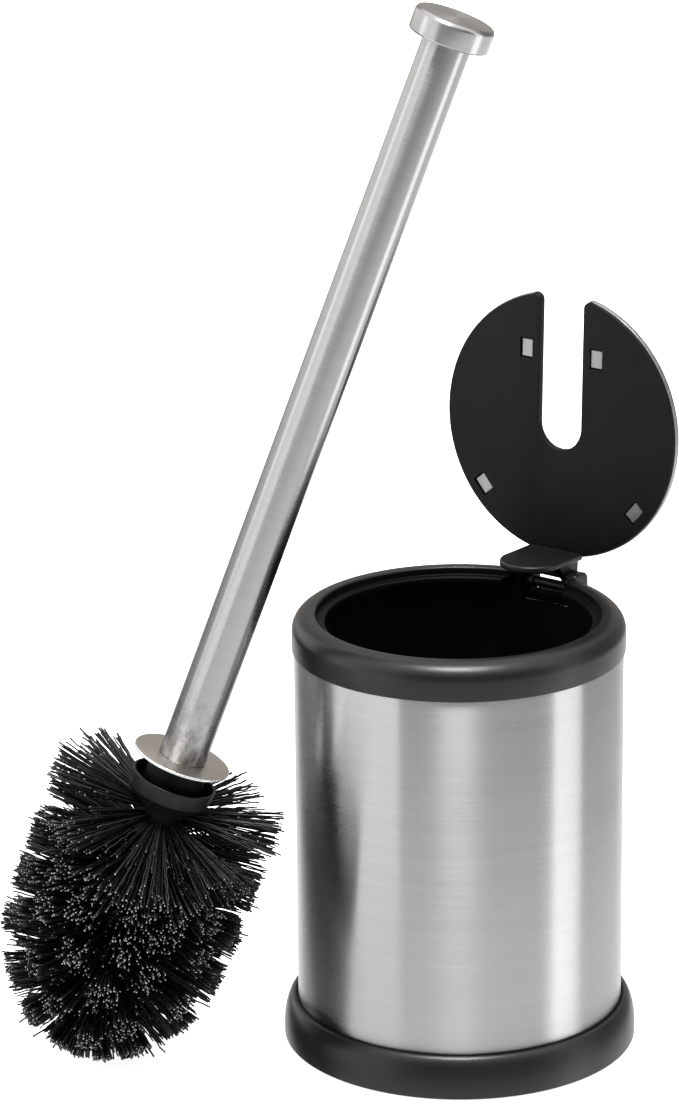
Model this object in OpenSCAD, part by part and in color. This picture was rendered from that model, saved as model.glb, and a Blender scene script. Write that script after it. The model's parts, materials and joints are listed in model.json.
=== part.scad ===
// Toilet brush holder set: a round steel-skinned holder with a hinged, slotted lid that a
// lever under the lid closes, and a brush with a tube handle and a round tufted head.
// Millimetres, +Z up. The origin is the centre of the holder's underside.
// The hinge is at the back (+Y); the lid stands open and the brush leans beside the holder.

/* [Holder] */
// Outer radius of the steel shell
shell_r = 55; // [50:1:66]
// Wall of the steel shell
shell_wall = 0.6; // [0.4:0.1:1]
// Height of the rim's top above the floor
holder_h = 150.6; // [125:1:181]
// Height of the rim collar's outer wall
rim_h = 12.4; // [11.5:0.1:15]
// How far the rim collar stands out over the shell
rim_lip = 0.7; // [0.6:0.1:1.5]
// Radius of the round shoulder of the rim
rim_round = 6; // [4:0.5:6.5]
// Width of the rim from the mouth to the outside of the shell
rim_w = 7.4; // [7:0.1:9]
// Radius of the small round at the mouth's edge
mouth_round = 1; // [0.5:0.1:1.2]
// How far the lid's ledge reaches into the mouth
ledge_w = 3; // [2:0.1:4]
// Thickness of the lid's ledge
ledge_t = 1.6; // [1.2:0.1:2]
// Depth of the shell in the groove of the rim collar
shell_grip = 2.2; // [1.5:0.1:2.6]
// Wall of the liner bucket
liner_wall = 1.5; // [1:0.1:2.5]
// Gap between the liner bucket and the shell
liner_gap = 0.3; // [0.2:0.1:1]

/* [Foot] */
// Height of the foot's top above the floor
foot_h = 14.9; // [12:0.1:20]
// How far the foot flares out past the shell
foot_flare = 4.8; // [2:0.1:8]
// Height of the foot's widest band
foot_band = 3.4; // [2.4:0.1:5]
// Thickness of the foot's floor
foot_floor = 2.6; // [2:0.1:4]
// Radius of the non-slip pad
pad_r = 50; // [30:1:52]
// Thickness of the non-slip pad
pad_t = 1.4; // [1:0.1:1.8]
// How far the pad stands below the foot
pad_proud = 0.4; // [0.2:0.1:0.8]

/* [Lid] */
// Gap between the lid and the mouth
lid_gap = 1.5; // [1:0.1:2.5]
// Thickness of the lid's plastic plate
plate_t = 2.2; // [2:0.1:3]
// Thickness of the lid's steel skin
skin_t = 0.4; // [0.3:0.1:0.6]
// Gap between the slot and the handle on each side
slot_gap = 0.6; // [0.3:0.1:1.5]
// Radius of the corners at the slot's mouth
slot_corner = 2.5; // [1:0.1:4]
// Angle from closed to open
open_angle = 91.7; // [80:0.1:92]
// Play between the closed lid and its ledge
lid_rest_gap = 0.2; // [0.1:0.05:0.4]
// Length of a window for a folded steel tab
tab_l = 7; // [5:0.5:8]
// Width of a window for a folded steel tab
tab_w = 5; // [4:0.5:6]

/* [Hinge] */
// Radius of the hinge pin
pin_r = 1.25; // [1:0.05:1.5]
// Distance of the hinge axis behind the mouth
hinge_back = 7.8; // [7.5:0.1:8.2]
// Distance of the hinge axis below the rim's top
hinge_drop = 5.6; // [5.4:0.1:6]
// Radial running clearance round the pin in the lid's arms
pin_play = 0.07; // [0.02:0.01:0.1]
// Wall of the eyes on the lid's arms
eye_wall = 1.35; // [1:0.05:1.4]
// Distance from the centre to the outside of each lid arm
arm_out = 9; // [7:0.5:10]
// Width of each lid arm
arm_w = 3; // [2:0.5:4]
// Gap between a lid arm and its lug
arm_gap = 0.3; // [0.2:0.1:0.6]
// Width of each lug on the rim
lug_w = 4; // [3:0.5:5]
// How far the lugs stand above the rim
lug_rise = 0.9; // [0.5:0.1:2]
// Width of the lever's paddle
paddle_w = 21; // [16:0.5:21]
// Length of the lever's paddle below the lid
paddle_l = 26.5; // [18:0.5:32]
// Thickness of the lever's paddle
paddle_t = 2.5; // [1.5:0.1:3]
// Distance from the hinge axis to the paddle's back face
paddle_off = 9.5; // [9.3:0.1:10]
// How far down the paddle its two arms reach
arm_reach = 12.5; // [8:0.5:14]
// Gap between the sides of the swinging paddle and the rim
paddle_gap = 0.5; // [0.3:0.1:1]

/* [Brush] */
// Outer radius of the handle tube
handle_r = 8; // [6.6:0.1:9.6]
// Wall of the handle tube
handle_wall = 0.8; // [0.5:0.1:1.2]
// Length from the splash disc's middle to the top of the cap
handle_l = 263.7; // [220:1:320]
// Radius of the handle's cap
cap_r = 13.25; // [11:0.25:16]
// Height of the handle's cap
cap_h = 8; // [6:0.5:12]
// Radius of the round at the cap's top
cap_round = 1.7; // [0.5:0.1:2]
// Radius of the splash disc
disc_r = 16.5; // [12:0.5:20]
// Thickness of the splash disc
disc_t = 1; // [0.6:0.1:1.5]
// Radius of the stud that joins head and handle
stud_r = 3; // [2.5:0.1:3.5]
// Radius of the head's neck
neck_r = 10; // [9:0.5:11]
// Outer radius of the head's cup
cup_r = 14.5; // [13.5:0.5:16]
// Distance of the cup's rim below the splash disc's middle
cup_top = 10; // [6:0.5:14]
// Wall of the head's cup
cup_wall = 1; // [0.8:0.1:2]
// Radius of the head's core
core_r = 6.5; // [6:0.5:7]

/* [Bristles] */
// Radius of the tufted head
bristle_r = 39; // [32:0.5:39.5]
// Number of tufts in a row
tufts = 8; // [5:1:8]
// Distance of the first row below the splash disc's middle
row_first = 29; // [27:0.5:34]
// Distance between rows
row_pitch = 6.6; // [5.5:0.1:7.5]
// Upward angle of the first row
tilt_up = 30; // [10:1:35]
// Downward angle of the last row
tilt_down = 38; // [20:1:40]
// Radius of a tuft at its root
tuft_root = 1.5; // [1:0.1:1.6]
// Radius of a tuft at its tip
tuft_tip = 6; // [3:0.5:6]
// Distance of the head's end below the splash disc's middle
head_end = 112.5; // [105:0.5:112.5]
// Distance below the splash disc's middle where the head starts to narrow
taper_start = 62; // [50:1:75]

/* [Where the brush stands] */
// Direction of the splash disc from the holder's axis, from +X towards +Y
brush_dir = 230; // [200:1:260]
// Gap between the rim and a head that stood upright there
brush_gap = 0.1; // [0.1:0.1:40]
// Gap between the head's end and the floor
brush_clear = 0.5; // [0.3:0.1:2]
// Lean of the brush from upright
brush_lean = 20.25; // [10:0.25:22]
// Direction in which the brush leans, from +X towards +Y
brush_turn = 35; // [20:1:60]

/* [Hidden] */
// Number of bristle rows
rows = 10;

$fn = 96;
// A cut runs this far past the face that it opens
past = 1;
// Running gap between pieces that are pushed together and never move
seat = 0.05;

// Holder
rim_r = shell_r + rim_lip;
mouth_r = shell_r - rim_w;
seam_z = holder_h - rim_h;
shell_in = shell_r - shell_wall;
groove_z = seam_z + shell_grip + 0.2;
skirt_w = 1.9;
skirt_r = shell_in - 0.2;
floor_z = pad_proud + foot_floor;
liner_r = shell_in - liner_gap;
liner_top = seam_z + 0.4;
skirt_z = liner_top + 0.4;
band_r = shell_r + foot_flare;
foot_lip_r = shell_r + 0.7;

// Lid, described closed
slot_w = 2 * (handle_r + slot_gap);
plate_r = mouth_r - lid_gap - skin_t;
ledge_z = holder_h - plate_t - skin_t - lid_rest_gap;
lid_z = ledge_z + lid_rest_gap;
skin_r = plate_r + skin_t;
hinge_y = mouth_r + hinge_back;
hinge_z = holder_h - hinge_drop;
paddle_y = hinge_y - paddle_off;
tab_depth = 1;
tab_slit = 0.8;
// Places of the windows: beside the slot, and near the edge on the hinge's side
tab_near = [slot_w / 2 + 5.5, -25];
tab_far_angle = 40;
tab_far_r = plate_r - 5.6;

// Hinge
eye_r = pin_r + eye_wall;
lug_in = arm_out + arm_gap;
lug_out = lug_in + lug_w;
lug_front = mouth_r + 2.4;
lug_back = hinge_y + 2.8;
lug_top = holder_h + lug_rise;
lug_round = 3;
notch_z = hinge_z - eye_r - 1;
paddle_cut = paddle_w / 2 + paddle_gap;
ledge_cut = paddle_w / 2 + 1.8;

// Brush, described along its own axis from the splash disc's middle
tube_in = handle_r - handle_wall;
plug_r = tube_in - seat;
tube_top = handle_l - cap_h + 1.1;
boss_r = 4;
boss_h = 3;
insert_l = 17;
stud_up = 14;
stud_down = 14;
neck_down = 15;
core_top = 26;
core_end = 92;
last_row = rows - 1;
taper_l = head_end - taper_start;
brush_out = rim_r + bristle_r + brush_gap;
brush_x = brush_out * cos(brush_dir);
brush_y = brush_out * sin(brush_dir);
// Height at which the leaning head's lowest point keeps its gap to the floor
brush_z = brush_clear + taper_start * cos(brush_lean)
    + norm([taper_l * cos(brush_lean), bristle_r * sin(brush_lean)]);
level_row = 3;

// Outline of a quarter round from angle a to angle b about a centre
function arc(cr, cz, r, a, b, n = 12) =
    [for (i = [0:n]) let (t = a + (b - a) * i / n) [cr + r * cos(t), cz + r * sin(t)]];

// Puts the closed lid at its open angle
module opened() {
    translate([0, hinge_y, hinge_z]) rotate([-open_angle, 0, 0])
        translate([0, -hinge_y, -hinge_z]) children();
}

// Puts a piece of the brush, drawn upright, where the brush stands
module standing() {
    translate([brush_x, brush_y, brush_z]) rotate([0, brush_lean, brush_turn]) children();
}

// ---- Holder ----

module base_foot() {
    flare = [for (i = [0:12]) let (t = 90 * i / 12)
        [foot_lip_r + (band_r - foot_lip_r) * cos(t), foot_band + (foot_h - foot_band) * sin(t)]];
    color("#2b2b2d") difference() {
        rotate_extrude() polygon(concat(
            [[0, pad_proud], [band_r - 0.5, pad_proud], [band_r, pad_proud + 0.5]],
            flare,
            [[shell_r + seat, foot_h], [shell_r + seat, floor_z], [0, floor_z]]
        ));
        translate([0, 0, -past]) cylinder(r = pad_r + 0.2, h = pad_t + past + seat);
    }
}

module nonslip_pad() {
    color("#1c1c1c") cylinder(r = pad_r, h = pad_t);
}

module outer_shell() {
    color("#b9b9b7") translate([0, 0, floor_z]) difference() {
        cylinder(r = shell_r, h = seam_z + shell_grip - floor_z);
        translate([0, 0, -past]) cylinder(r = shell_in, h = holder_h);
    }
}

module liner_bucket() {
    color("#141414") translate([0, 0, floor_z]) difference() {
        cylinder(r = liner_r, h = liner_top - floor_z);
        translate([0, 0, liner_wall]) cylinder(r = liner_r - liner_wall, h = holder_h);
    }
}

module rim_ring() {
    rotate_extrude() polygon(concat(
        [[shell_r + 0.1, seam_z], [rim_r, seam_z]],
        arc(rim_r - rim_round, holder_h - rim_round, rim_round, 0, 90),
        arc(mouth_r + mouth_round, holder_h - mouth_round, mouth_round, 90, 180, 6),
        [
            [mouth_r, ledge_z], [mouth_r - ledge_w, ledge_z], [mouth_r - ledge_w, ledge_z - ledge_t],
            [mouth_r + 2.6, ledge_z - ledge_t], [skirt_r - skirt_w, ledge_z - ledge_t - 2],
            [skirt_r - skirt_w, skirt_z], [skirt_r, skirt_z], [skirt_r, groove_z],
            [shell_r + 0.1, groove_z]
        ]
    ));
}

// One lug, between two distances from the middle, with a round top corner at its back
module lug(from, to) {
    w = to - from;
    translate([from, lug_front, notch_z]) cube([w, lug_back - lug_round - lug_front, lug_top - notch_z]);
    translate([from, lug_front, notch_z]) cube([w, lug_back - lug_front, lug_top - lug_round - notch_z]);
    translate([from, lug_back - lug_round, lug_top - lug_round]) rotate([0, 90, 0])
        cylinder(r = lug_round, h = w, $fn = 48);
}

module rim_collar() {
    color("#2b2b2d") difference() {
        union() {
            rim_ring();
            lug(lug_in, lug_out);
            lug(-lug_out, -lug_in);
        }
        // Notch for the lid's arms
        translate([-lug_in, 0, notch_z]) cube([2 * lug_in, lug_back + past, holder_h]);
        translate([-lug_in, 0, seam_z - past]) cube([2 * lug_in, skirt_r - 1, holder_h]);
        // Way through the mouth's edge and the ledge for the paddle
        translate([-paddle_cut, 0, notch_z]) cube([2 * paddle_cut, lug_front, holder_h]);
        translate([-ledge_cut, 0, ledge_z - ledge_t - past])
            cube([2 * ledge_cut, mouth_r - 0.6, ledge_t + past + 0.1]);
        translate([-lug_out - past, hinge_y, hinge_z]) rotate([0, 90, 0])
            cylinder(r = pin_r + 0.02, h = 2 * (lug_out + past), $fn = 48);
    }
}

module hinge_pin() {
    color("#d0d0d0") translate([-lug_out - 0.3, hinge_y, hinge_z]) rotate([0, 90, 0])
        cylinder(r = pin_r, h = 2 * (lug_out + 0.3), $fn = 48);
}

// ---- Lid ----

// Plan of the slot with its round end and the round corners of its mouth
module slot_plan(disc_r) {
    half = slot_w / 2;
    corner_y = -sqrt(pow(disc_r - slot_corner, 2) - pow(half + slot_corner, 2));
    grow = (disc_r + past) / (disc_r - slot_corner);
    circle(r = half);
    translate([-half, -disc_r - past]) square([slot_w, disc_r + past]);
    for (side = [-1, 1]) difference() {
        polygon([
            [side * (half - 0.1), corner_y], [side * (half + slot_corner), corner_y],
            [side * (half + slot_corner) * grow, corner_y * grow],
            [side * (half - 0.1), -disc_r - past]
        ]);
        translate([side * (half + slot_corner), corner_y]) circle(r = slot_corner, $fn = 32);
    }
}

// Puts something at each of the four windows, its long side along its own Y
module at_tabs() {
    for (side = [-1, 1]) {
        translate([side * tab_near.x, tab_near.y, lid_z]) mirror([side < 0 ? 1 : 0, 0, 0]) children();
        rotate([0, 0, side > 0 ? tab_far_angle : 180 - tab_far_angle]) translate([tab_far_r, 0, lid_z])
            children();
    }
}

module lid_plate() {
    color("#1f1f20") opened() difference() {
        translate([0, 0, lid_z]) linear_extrude(plate_t) difference() {
            circle(r = plate_r);
            slot_plan(plate_r);
        }
        at_tabs() {
            translate([-tab_w / 2, -tab_l / 2, -past]) cube([tab_w, tab_l, past + tab_depth]);
            translate([tab_w / 2 - tab_slit, -tab_l / 2 + 0.3, -past])
                cube([tab_slit, tab_l - 0.6, plate_t + 2 * past]);
        }
    }
}

module lid_skin() {
    top = lid_z + plate_t;
    edge_h = 1.4;
    color("#c9c9c7") opened() {
        translate([0, 0, top]) linear_extrude(skin_t) difference() {
            circle(r = skin_r);
            slot_plan(skin_r);
        }
        // Edge turned down round the plate, open at the slot
        translate([0, 0, top - edge_h]) linear_extrude(edge_h + skin_t / 2) difference() {
            circle(r = skin_r);
            circle(r = plate_r);
            translate([-slot_w / 2 - slot_corner - 0.6, -skin_r - past])
                square([slot_w + 2 * slot_corner + 1.2, skin_r]);
        }
        // Tabs through the plate, folded into their windows
        at_tabs() {
            translate([tab_w / 2 - tab_slit + 0.2, -tab_l / 2 + 0.5, tab_depth - skin_t - 0.05])
                cube([skin_t, tab_l - 1, plate_t - tab_depth + 1.5 * skin_t]);
            translate([-tab_w / 2 + 0.3, -tab_l / 2 + 0.5, tab_depth - skin_t - 0.05])
                cube([tab_w - tab_slit, tab_l - 1, skin_t]);
        }
    }
}

module lid_lever() {
    half = paddle_w / 2;
    front_y = paddle_y - paddle_t;
    arm_side = [
        [paddle_y - 0.1, lid_z - arm_reach], [paddle_y - 0.1, lid_z],
        [hinge_y, hinge_z + eye_r], [hinge_y, hinge_z - eye_r],
        [hinge_y - 1.8, hinge_z - eye_r + 0.7]
    ];
    color("#262627") opened() difference() {
        union() {
            // Paddle with a round end
            translate([0, paddle_y, lid_z - paddle_l + half]) rotate([90, 0, 0])
                cylinder(r = half, h = paddle_t);
            translate([-half, front_y, lid_z - paddle_l + half])
                cube([paddle_w, paddle_t, paddle_l - half]);
            for (side = [-1, 1]) {
                from = side > 0 ? arm_out - arm_w : -arm_out;
                translate([from, 0, 0]) rotate([90, 0, 90]) linear_extrude(arm_w) polygon(arm_side);
                translate([from, hinge_y, hinge_z]) rotate([0, 90, 0])
                    cylinder(r = eye_r, h = arm_w, $fn = 48);
            }
        }
        translate([-arm_out - past, hinge_y, hinge_z]) rotate([0, 90, 0])
            cylinder(r = pin_r + pin_play, h = 2 * (arm_out + past), $fn = 48);
    }
}

// ---- Brush ----

module handle_tube() {
    color("#b4b4b2") standing() translate([0, 0, disc_t / 2]) difference() {
        cylinder(r = handle_r, h = tube_top - disc_t / 2);
        translate([0, 0, -past]) cylinder(r = tube_in, h = handle_l);
    }
}

module handle_cap() {
    color("#b4b4b2") standing() difference() {
        rotate_extrude() polygon(concat(
            [[0, handle_l - cap_h], [cap_r - 0.5, handle_l - cap_h], [cap_r, handle_l - cap_h + 0.5]],
            arc(cap_r - cap_round, handle_l - cap_round, cap_round, 0, 90, 8),
            [[0, handle_l]]
        ));
        translate([0, 0, handle_l - cap_h - past]) cylinder(r = handle_r + seat, h = past + 1.1 + seat);
        translate([0, 0, tube_top - past]) cylinder(r = boss_r + seat, h = past + boss_h + 0.2);
    }
}

module cap_plug() {
    plug_l = 12;
    color("#3a3a3a") standing() {
        translate([0, 0, tube_top - plug_l]) cylinder(r = plug_r, h = plug_l);
        translate([0, 0, tube_top - seat]) cylinder(r = boss_r, h = boss_h + seat);
    }
}

module threaded_insert() {
    color("#8f8f8d") standing() translate([0, 0, disc_t / 2]) difference() {
        cylinder(r = plug_r, h = insert_l);
        translate([0, 0, -past]) cylinder(r = stud_r + seat, h = insert_l + 2 * past);
    }
}

module head_stud() {
    color("#a9a9a7") standing() translate([0, 0, -stud_down]) cylinder(r = stud_r, h = stud_down + stud_up);
}

module splash_disc() {
    color("#c0bcb6") standing() translate([0, 0, -disc_t / 2]) difference() {
        cylinder(r = disc_r, h = disc_t);
        translate([0, 0, -past]) cylinder(r = stud_r + 0.3, h = disc_t + 2 * past);
    }
}

module head_core() {
    cup_low = cup_top + 4;
    color("#1b1b1b") standing() difference() {
        rotate_extrude() polygon(concat(
            [
                [0, -disc_t / 2], [neck_r, -disc_t / 2], [neck_r, -neck_down],
                [cup_r - cup_wall - 1, -neck_down], [cup_r - cup_wall, -cup_top], [cup_r, -cup_top],
                [cup_r - 0.2, -cup_low], [core_r, -core_top]
            ],
            arc(0, -core_end + core_r, core_r, 0, -90, 8)
        ));
        translate([0, 0, -stud_down - 0.3]) cylinder(r = stud_r + seat, h = stud_down + past);
    }
}

// Angle of a row above level
function row_tilt(i) =
    i < level_row ? tilt_up * pow(1 - i / level_row, 1.5)
    : i > level_row + 1 ? -tilt_down * pow((i - level_row - 1) / (last_row - level_row - 1), 1.6)
    : 0;

// Distance from the axis at height s, along a direction, to the outline of the head:
// a cylinder down to taper_start and half an ellipsoid below it
function tuft_l(s, tilt) =
    let (
        straight = bristle_r / max(cos(tilt), 0.01),
        h = s + taper_start,
        qa = pow(cos(tilt) / bristle_r, 2) + pow(sin(tilt) / taper_l, 2),
        qb = h * sin(tilt) / (taper_l * taper_l),
        qc = pow(h / taper_l, 2) - 1
    )
    s + straight * sin(tilt) > -taper_start ? straight : (-qb + sqrt(qb * qb - qa * qc)) / qa;

// One tuft along a ray from the axis, from a distance inside the core out to the head's outline
module tuft(s, tilt, turn, root, root_r, tip_r) {
    translate([0, 0, s]) rotate([0, 90 - tilt, turn]) translate([0, 0, root])
        cylinder(r1 = root_r, r2 = tip_r, h = tuft_l(s, tilt) - root, $fn = 24);
}

module bristle_row(i) {
    tilt = row_tilt(i);
    stagger = (i % 2) * 180 / tufts;
    tip_r = i == last_row ? tuft_tip * 0.75 : tuft_tip;
    root = core_r * 0.72 / cos(tilt);
    color("#121212") standing() for (k = [0:tufts - 1])
        tuft(-row_first - i * row_pitch, tilt, 360 * k / tufts + stagger, root, tuft_root, tip_r);
}

module bristle_tip() {
    ring = floor(tufts / 2);
    ring_tilt = -67;
    s = -core_end + core_r - 1;
    root = core_r * 0.8;
    root_r = tuft_root * 0.6;
    tip_r = tuft_tip * 0.6;
    color("#121212") standing() {
        for (k = [0:ring - 1]) tuft(s, ring_tilt, 360 * k / ring, root, root_r, tip_r);
        tuft(s, -90, 0, root, root_r, tip_r);
    }
}

base_foot();
nonslip_pad();
outer_shell();
liner_bucket();
rim_collar();
hinge_pin();
lid_plate();
lid_skin();
lid_lever();
handle_tube();
handle_cap();
cap_plug();
threaded_insert();
head_stud();
splash_disc();
head_core();
for (i = [0:last_row]) bristle_row(i);
bristle_tip();
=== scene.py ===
"""Looks of a toilet brush holder set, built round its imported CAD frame.

Pieces are drawn in millimetres in their own upright position, then put in place in metres:
the holder stands on the origin, the lid is drawn closed and turned open about its hinge,
and the brush is drawn along +Z from its splash disc and leans beside the holder.
Only the bristles' points are put in place one by one.
"""

import json
import math
import random

import bmesh
import bpy
from mathutils import Matrix, Vector


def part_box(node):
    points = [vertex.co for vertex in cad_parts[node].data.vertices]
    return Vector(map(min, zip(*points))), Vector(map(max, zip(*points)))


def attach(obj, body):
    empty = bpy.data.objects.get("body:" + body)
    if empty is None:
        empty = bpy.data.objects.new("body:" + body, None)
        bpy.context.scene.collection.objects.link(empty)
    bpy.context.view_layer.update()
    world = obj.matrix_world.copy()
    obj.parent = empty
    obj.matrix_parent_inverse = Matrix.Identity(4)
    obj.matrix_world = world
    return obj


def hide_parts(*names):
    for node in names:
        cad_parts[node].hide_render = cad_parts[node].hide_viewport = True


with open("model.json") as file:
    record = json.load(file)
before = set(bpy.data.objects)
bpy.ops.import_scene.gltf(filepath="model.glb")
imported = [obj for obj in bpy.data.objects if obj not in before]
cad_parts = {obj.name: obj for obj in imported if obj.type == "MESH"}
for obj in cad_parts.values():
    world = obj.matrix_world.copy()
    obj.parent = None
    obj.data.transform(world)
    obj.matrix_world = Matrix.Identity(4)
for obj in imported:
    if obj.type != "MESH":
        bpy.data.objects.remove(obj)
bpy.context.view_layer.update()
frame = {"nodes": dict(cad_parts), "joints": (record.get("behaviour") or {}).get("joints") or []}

MM = 0.001


def span(node):
    """Lowest and highest corner of a CAD node in millimetres."""
    low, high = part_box(node)
    return low / MM, high / MM


# ---- Sizes in millimetres; what the frame can tell is read from it ----

# Holder
SHELL_R = span("outer_shell")[1].x
SHELL_WALL = 0.6
SHELL_LOW, SHELL_TOP = span("outer_shell")[0].z, span("outer_shell")[1].z
RIM_R = span("rim_collar")[1].x
SEAM_Z = span("rim_collar")[0].z
LUG_TOP = span("rim_collar")[1].z
LUG_BACK = span("rim_collar")[1].y
RIM_TOP = LUG_TOP - 0.9
MOUTH_R = SHELL_R - 7.4
RIM_ROUND = 6.0
MOUTH_ROUND = 1.0
LEDGE_W = 3.0
LEDGE_T = 1.6
GROOVE_Z = SHELL_TOP + 0.2
SKIRT_R = SHELL_R - SHELL_WALL - 0.2
SKIRT_W = 1.9
SKIRT_Z = SEAM_Z + 0.8
FOOT_LOW, FOOT_TOP = span("base_foot")[0].z, span("base_foot")[1].z
BAND_R = span("base_foot")[1].x
BAND_TOP = 3.4
PAD_R, PAD_TOP = span("nonslip_pad")[1].x, span("nonslip_pad")[1].z
FOOT_LIP_R = SHELL_R + 0.7
FOOT_EDGE = 0.6

# Hinge
lid_joint = next(j for j in frame["joints"] if j["name"] == "lid_hinge")
HINGE = Vector(lid_joint["pos_m"]) / MM
OPEN_ANGLE = math.radians(max(lid_joint["range_deg"]))
PIN_R = (span("hinge_pin")[1].z - span("hinge_pin")[0].z) / 2
EYE_R = PIN_R + 1.35
ARM_OUT = 9.0
ARM_W = 3.0
LUG_IN = ARM_OUT + 0.3
LUG_W = 4.0
LUG_OUT = LUG_IN + LUG_W
LUG_FRONT = MOUTH_R + 2.4
NOTCH_Z = HINGE.z - EYE_R - 1.0
BARREL_R = PIN_R + 0.55
WEB_HALF = ARM_OUT - ARM_W - 0.4
WEB_TOP = HINGE.z - BARREL_R - 0.3
SIDE_WEB_TOP = HINGE.z - EYE_R - 0.35
WEB_BACK = 2.4

# Lid, closed
PLATE_R = span("lid_plate")[1].x
SKIN_R = span("lid_skin")[1].x
PLATE_T = 2.2
SKIN_T = 0.4
SKIN_EDGE = 1.4
LID_Z = RIM_TOP - PLATE_T - SKIN_T
SLOT_HALF = 8.6
SLOT_CORNER = 2.5
TAB_L = 7.0
TAB_W = 5.0
TAB_DEPTH = 1.0
TAB_SLIT = 0.8
TAB_NEAR = (SLOT_HALF + 5.5, -25.0)
TAB_FAR_ANGLE = math.radians(40)
TAB_FAR_R = PLATE_R - 5.6
PADDLE_HALF = span("lid_lever")[1].x
PADDLE_T = 2.5
PADDLE_L = 26.5
PADDLE_Y = HINGE.y - 9.5
ARM_REACH = 12.5

# Brush, along its own axis from the splash disc's middle
HANDLE_R = 8.0
HANDLE_WALL = 0.8
HANDLE_L = 263.7
CAP_R = 13.25
CAP_H = 8.0
CAP_ROUND = 1.7
SOCKET_DEEP = 1.15
BORE_R = 4.05
BORE_DEEP = 4.4
DISC_R = 16.5
DISC_T = 1.0
NECK_R = 10.0
NECK_DOWN = 15.0
CUP_R = 14.5
CUP_TOP = 7.5
CUP_WALL = 1.0
CORE_TOP = 23.0
CORE_R = 6.5
CORE_END = 92.0

# Bristles
ROWS = 10
TUFTS = 8
ROW_FIRST = 29.0
ROW_PITCH = 6.6
TILT_DOWN = math.radians(38)
LEVEL_ROW = 3
BRISTLE_R = 39.0
TAPER_START = 62.0
HEAD_END = 110.5
# The first rows sit higher than an even pitch would put them, close under the cup, and point a little up
ROW_LIFT = (9.0, 5.0, 2.0)
ROW_TILT = (7, 5, 2)
SPREAD = math.radians(8.6)
END_SPREAD = math.radians(8)
# The tufts in the core's end: a ring of them, and one in the middle
RING_TILT = math.radians(-67)
RING_SPREAD = math.radians(9)
MIDDLE_TILT = math.radians(-89)
FILAMENT_R = 0.29
FILAMENT_STEPS = 12
TUFT_COUNT = 72
SHORT_SHARE = 0.3
GOLDEN_TURN = math.pi * (3 - math.sqrt(5))
LONGEST = 42.5
FLOOR_GAP = 0.4
# How far the first rows' tufts are pressed down, in degrees, and the side of the head that was pressed
PRESSED = (34, 20, 7)
PRESSED_SIDE = math.radians(270)

# ---- Places ----

lid_hinge_at = Matrix.Translation(HINGE * MM)
LID_PLACE = lid_hinge_at @ Matrix.Rotation(-OPEN_ANGLE, 4, "X") @ lid_hinge_at.inverted()


def middle(node):
    """Middle of a CAD node's box, in metres."""
    low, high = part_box(node)
    return (low + high) / 2


disc_middle = middle("splash_disc")
brush_axis = (middle("handle_tube") - disc_middle).normalized()
BRUSH_LEAN = Matrix.Rotation(math.acos(brush_axis.z), 4, "Y")
BRUSH_TURN = Matrix.Rotation(math.atan2(brush_axis.y, brush_axis.x), 4, "Z")
BRUSH_PLACE = Matrix.Translation(disc_middle) @ BRUSH_TURN @ BRUSH_LEAN
HOLDER_PLACE = Matrix.Identity(4)

# Turns for slabs: drawn in (Y, Z) and pulled along X; drawn in (X, Z) and pulled along Y, forwards or back
SIDE_ON = Matrix(((0, 0, 1, 0), (1, 0, 0, 0), (0, 1, 0, 0), (0, 0, 0, 1)))
FACING_BACK = Matrix(((1, 0, 0, 0), (0, 0, 1, 0), (0, 1, 0, 0), (0, 0, 0, 1)))
FACING_FRONT = Matrix(((1, 0, 0, 0), (0, 0, -1, 0), (0, 1, 0, 0), (0, 0, 0, 1)))


# ---- Outlines ----

def rounded(corners, steps=6):
    """A closed outline through (x, y, radius) corners, each corner replaced by an arc of its radius."""
    outline = []
    for i, (x, y, radius) in enumerate(corners):
        corner = Vector((x, y))
        if radius <= 0:
            outline.append((x, y))
            continue
        before = (Vector(corners[i - 1][:2]) - corner).normalized()
        after = (Vector(corners[(i + 1) % len(corners)][:2]) - corner).normalized()
        half = before.angle(after) / 2
        centre = corner + (before + after).normalized() * radius / math.sin(half)
        start = corner + before * radius / math.tan(half) - centre
        end = corner + after * radius / math.tan(half) - centre
        turn = math.atan2(start.x * end.y - start.y * end.x, start.dot(end))
        for s in range(steps + 1):
            a = turn * s / steps
            c, d = math.cos(a), math.sin(a)
            outline.append((centre.x + start.x * c - start.y * d, centre.y + start.x * d + start.y * c))
    return outline


def arc(x, y, radius, start, end, steps=24, radius_y=None):
    """Points of an arc or a quarter ellipse, angles in degrees."""
    tall = radius if radius_y is None else radius_y
    angles = [math.radians(start + (end - start) * s / steps) for s in range(steps + 1)]
    return [(x + radius * math.cos(a), y + tall * math.sin(a)) for a in angles]


def inset(outline, depth):
    """The outline moved inwards by depth; outlines run counter-clockwise."""
    moved = []
    n = len(outline)
    for i in range(n):
        p = Vector(outline[i])
        a = (p - Vector(outline[i - 1])).normalized()
        b = (Vector(outline[(i + 1) % n]) - p).normalized()
        normal = Vector((-a.y - b.y, a.x + b.x)).normalized()
        grow = 1 / max(0.4, normal.dot(Vector((-b.y, b.x))))
        moved.append(tuple(p + normal * depth * grow))
    return moved


# ---- Meshes ----

def lathe(outline, sides=192):
    """A closed outline of (radius, height) points turned round Z, as vertices and faces."""
    n = len(outline)
    verts, faces = [], []
    for k in range(sides):
        c, s = math.cos(2 * math.pi * k / sides), math.sin(2 * math.pi * k / sides)
        verts += [(r * c, r * s, z) for r, z in outline]
    for k in range(sides):
        a, b = k * n, (k + 1) % sides * n
        for i in range(n):
            j = (i + 1) % n
            if max(outline[i][0], outline[j][0]) > 1e-6:
                faces.append((a + i, b + i, b + j, a + j))
    return verts, faces


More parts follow.
